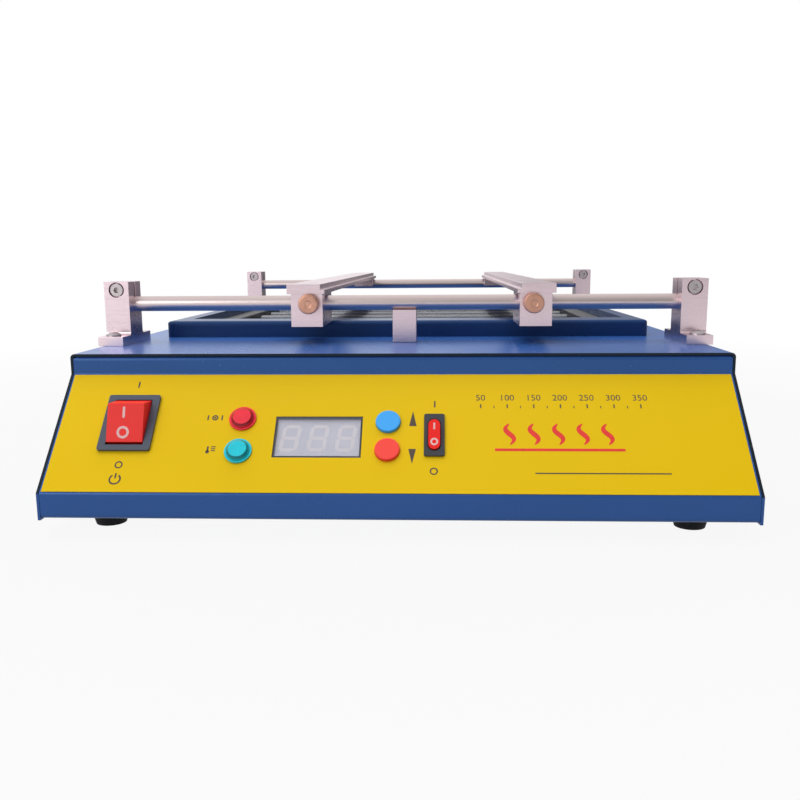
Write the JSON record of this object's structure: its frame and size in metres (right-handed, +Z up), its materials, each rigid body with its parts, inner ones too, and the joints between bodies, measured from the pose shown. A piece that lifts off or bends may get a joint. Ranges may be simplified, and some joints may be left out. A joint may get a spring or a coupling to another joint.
{
  "type": "pcb preheater",
  "caption": "Bench infrared preheater for circuit boards: blue steel housing with a sloped control panel, heater well in the deck and sliding board arms on rods.",
  "frame": {"origin": "on the table under the middle of the bounding box", "axes": "+X to the user's right, +Y to the back, +Z up; the control panel faces -Y"},
  "size_m": [0.3156, 0.48, 0.1083],
  "materials": {
    "blue_paint": "gloss",
    "yellow_film": "gloss",
    "polished_steel": "polished",
    "bright_aluminium": "satin",
    "reflector_metal": "polished",
    "quartz": "clear",
    "coil_wire": "oxidised",
    "white_ceramic": "matte",
    "fibre_board": "matte",
    "copper_alloy": "satin",
    "black_rubber": "matte",
    "black_plastic": "satin",
    "red_plastic": "gloss",
    "red_cap": "matte",
    "blue_cap": "matte",
    "red_lens": "gloss",
    "cyan_lens": "gloss",
    "clear_acrylic": "clear",
    "display_face": "satin",
    "green_board": "satin",
    "core_steel": "matte",
    "dark_screw": "satin",
    "bright_screw": "polished",
    "contact_brass": "satin"
  },
  "bodies": {
    "housing": {"chassis": "blue_paint", "cover": "blue_paint", "front_label": "yellow_film", "heater_frame": "blue_paint", "frame_screws": "dark_screw", "heater_pan": "reflector_metal", "reflector": "reflector_metal", "ir_tubes": "quartz", "heater_coils": "coil_wire", "tube_end_caps": "white_ceramic", "tube_rail_left": "reflector_metal", "tube_rail_right": "reflector_metal", "insulation_board": "fibre_board", "thermocouple": "reflector_metal", "post_front_left": "bright_aluminium", "post_front_right": "bright_aluminium", "post_rear_left": "bright_aluminium", "post_rear_right": "bright_aluminium", "post_clamp_screws": "bright_screw", "post_base_screws": "bright_screw", "front_rod": "polished_steel", "rear_rod": "polished_steel", "rod_rest": "bright_aluminium", "power_switch_body": "black_plastic", "heater_switch_body": "black_plastic", "display_module": "display_face", "display_window": "clear_acrylic", "set_lamp": "red_lens", "current_lamp": "cyan_lens", "control_board": "green_board", "button_switches": "black_plastic", "board_standoffs": "bright_screw", "power_board": "green_board", "transformer": "core_steel", "heatsink": "bright_aluminium", "triac": "black_plastic", "line_fuse": "bright_screw", "terminal_block": "white_ceramic", "inlet_socket": "black_plastic", "inlet_pins": "contact_brass", "foot_front_left": "black_rubber", "foot_front_right": "black_rubber", "foot_rear_left": "black_rubber", "foot_rear_right": "black_rubber", "foot_screws": "bright_screw", "cover_screws": "bright_screw"},
    "left_arm": {"left_arm_bar": "bright_aluminium", "left_arm_slider": "bright_aluminium", "left_arm_saddle": "bright_aluminium", "left_arm_screws": "bright_screw"},
    "right_arm": {"right_arm_bar": "bright_aluminium", "right_arm_slider": "bright_aluminium", "right_arm_saddle": "bright_aluminium", "right_arm_screws": "bright_screw"},
    "left_knob": {"left_thumbscrew": "copper_alloy"},
    "right_knob": {"right_thumbscrew": "copper_alloy"},
    "power_key": {"power_rocker": "red_plastic"},
    "heater_key": {"heater_rocker": "red_plastic"},
    "up_key": {"up_button": "blue_cap"},
    "down_key": {"down_button": "red_cap"}
  },
  "joints": [
    {"name": "left_arm_slide", "type": "slide", "parent": "housing", "child": "left_arm", "axis": [1, 0, 0], "range_m": [-0.0825, 0.035]},
    {"name": "right_arm_slide", "type": "slide", "parent": "housing", "child": "right_arm", "axis": [1, 0, 0], "range_m": [-0.0525, 0.062]},
    {"name": "left_knob_turn", "type": "hinge", "parent": "left_arm", "child": "left_knob", "pos_m": [-0.0475, -0.1574, 0.0965], "axis": [0, -1, 0], "range_deg": [0, 360]},
    {"name": "right_knob_turn", "type": "hinge", "parent": "right_arm", "child": "right_knob", "pos_m": [0.0678, -0.1574, 0.0965], "axis": [0, -1, 0], "range_deg": [0, 360]},
    {"name": "power_rock", "type": "hinge", "parent": "housing", "child": "power_key", "pos_m": [-0.1216, -0.21488, 0.04518], "axis": [1, 0, 0], "range_deg": [-50, 0]},
    {"name": "heater_rock", "type": "hinge", "parent": "housing", "child": "heater_key", "pos_m": [0.01745, -0.2182, 0.03992], "axis": [1, 0, 0], "range_deg": [-24, 0]},
    {"name": "up_press", "type": "slide", "parent": "housing", "child": "up_key", "axis": [0, 0.7264, -0.6873], "range_m": [0, 0.0012], "stiffness_N_per_m": 500, "springref_m": -0.0004},
    {"name": "down_press", "type": "slide", "parent": "housing", "child": "down_key", "axis": [0, 0.7264, -0.6873], "range_m": [0, 0.0012], "stiffness_N_per_m": 500, "springref_m": -0.0004}
  ]
}
